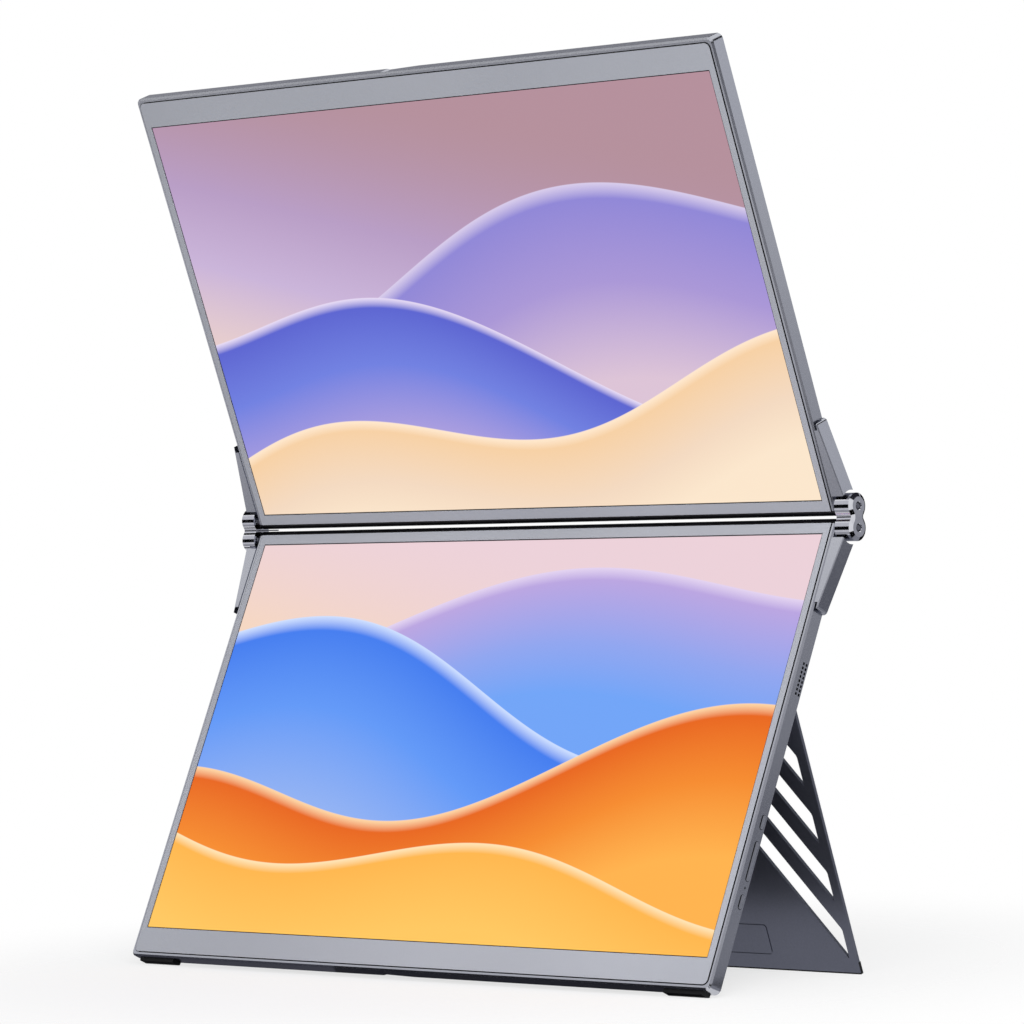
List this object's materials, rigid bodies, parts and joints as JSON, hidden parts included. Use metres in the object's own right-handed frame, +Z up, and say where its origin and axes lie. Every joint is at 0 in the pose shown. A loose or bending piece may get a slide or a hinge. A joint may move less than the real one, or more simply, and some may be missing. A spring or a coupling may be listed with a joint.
{
  "type": "dual-screen portable monitor",
  "caption": "Portable monitor with stacked flat screens joined by figure-eight side links with a pin axis for each panel, standing on rubber feet and a slotted folding kickstand.",
  "frame": {"origin": "on the floor, under the middle of the box of the whole standing monitor", "axes": "+Z up, +X to the right seen from the front, screens face -Y, kickstand at +Y"},
  "size_m": [0.3758, 0.1028, 0.4025],
  "materials": {
    "anodised_frame": "satin anodised grey",
    "bezel_plastic": "fine matt grey",
    "display_glass": "lit display, matt front",
    "light_guide": "white sheet",
    "hinge_strip": "gloss black",
    "plated_hinge": "polished gunmetal plating",
    "steel": "turned or stamped steel",
    "stand_metal": "satin anodised slate grey",
    "rubber": "black, matt",
    "circuit_board": "solder mask",
    "speaker_plastic": "black moulded",
    "led_plastic": "clear light pipe"
  },
  "bodies": {
    "lower_unit": {"lower_rear_shell": "anodised_frame", "lower_bezel": "bezel_plastic", "lower_display": "display_glass", "lower_backlight": "light_guide", "lower_hinge_barrel": "hinge_strip", "lower_hinge_bracket_left": "steel", "lower_hinge_bracket_right": "steel", "lower_hinge_arm_left": "anodised_frame", "lower_hinge_arm_right": "anodised_frame", "lower_hinge_pin_left": "steel", "lower_hinge_pin_right": "steel", "lower_friction_washers": "steel", "lower_bracket_screws": "steel", "main_board": "circuit_board", "main_board_screws": "steel", "button_board": "circuit_board", "status_led": "led_plastic", "speaker_left": "speaker_plastic", "speaker_right": "speaker_plastic", "usb_c_socket_1": "steel", "usb_c_socket_2": "steel", "foot_left": "rubber", "foot_right": "rubber", "stand_rod": "steel"},
    "hinge_links": {"hinge_link_left": "plated_hinge", "hinge_link_right": "plated_hinge", "cable_bridge": "anodised_frame"},
    "upper_unit": {"upper_rear_shell": "anodised_frame", "upper_bezel": "bezel_plastic", "upper_display": "display_glass", "upper_backlight": "light_guide", "upper_hinge_barrel": "hinge_strip", "upper_hinge_bracket_left": "steel", "upper_hinge_bracket_right": "steel", "upper_hinge_arm_left": "anodised_frame", "upper_hinge_arm_right": "anodised_frame", "upper_hinge_pin_left": "steel", "upper_hinge_pin_right": "steel", "upper_friction_washers": "steel", "upper_bracket_screws": "steel", "driver_board": "circuit_board", "driver_board_screws": "steel"},
    "kickstand": {"stand_plate": "stand_metal", "stand_foot_strip": "rubber"},
    "power_button": {"power_button": "anodised_frame"},
    "menu_rocker": {"menu_rocker": "anodised_frame"},
    "back_button": {"back_button": "anodised_frame"}
  },
  "joints": [
    {"name": "lower_axis", "type": "hinge", "parent": "lower_unit", "child": "hinge_links", "pos_m": [0, 0.0449, 0.19217], "axis": [1, 0, 0], "range_deg": [-114.7, 65.3]},
    {"name": "upper_axis", "type": "hinge", "parent": "hinge_links", "child": "upper_unit", "pos_m": [0, 0.04514, 0.20157], "axis": [1, 0, 0], "range_deg": [-110.45, 69.55]},
    {"name": "kickstand_fold", "type": "hinge", "parent": "lower_unit", "child": "kickstand", "pos_m": [0, 0.01183, 0.11817], "axis": [1, 0, 0], "range_deg": [-44.1, 45.9]},
    {"name": "power_button_press", "type": "slide", "parent": "lower_unit", "child": "power_button", "axis": [-1, 0, 0], "range_m": [0, 0.00035], "stiffness_N_per_m": 500, "springref_m": -0.001},
    {"name": "menu_rocker_tip", "type": "hinge", "parent": "lower_unit", "child": "menu_rocker", "pos_m": [0.1767, -0.0214, 0.05494], "axis": [0, -0.8973, 0.4415], "range_deg": [-1.8, 1.8], "stiffness_Nm_per_rad": 0.05},
    {"name": "back_button_press", "type": "slide", "parent": "lower_unit", "child": "back_button", "axis": [-1, 0, 0], "range_m": [0, 0.00035], "stiffness_N_per_m": 500, "springref_m": -0.001}
  ]
}
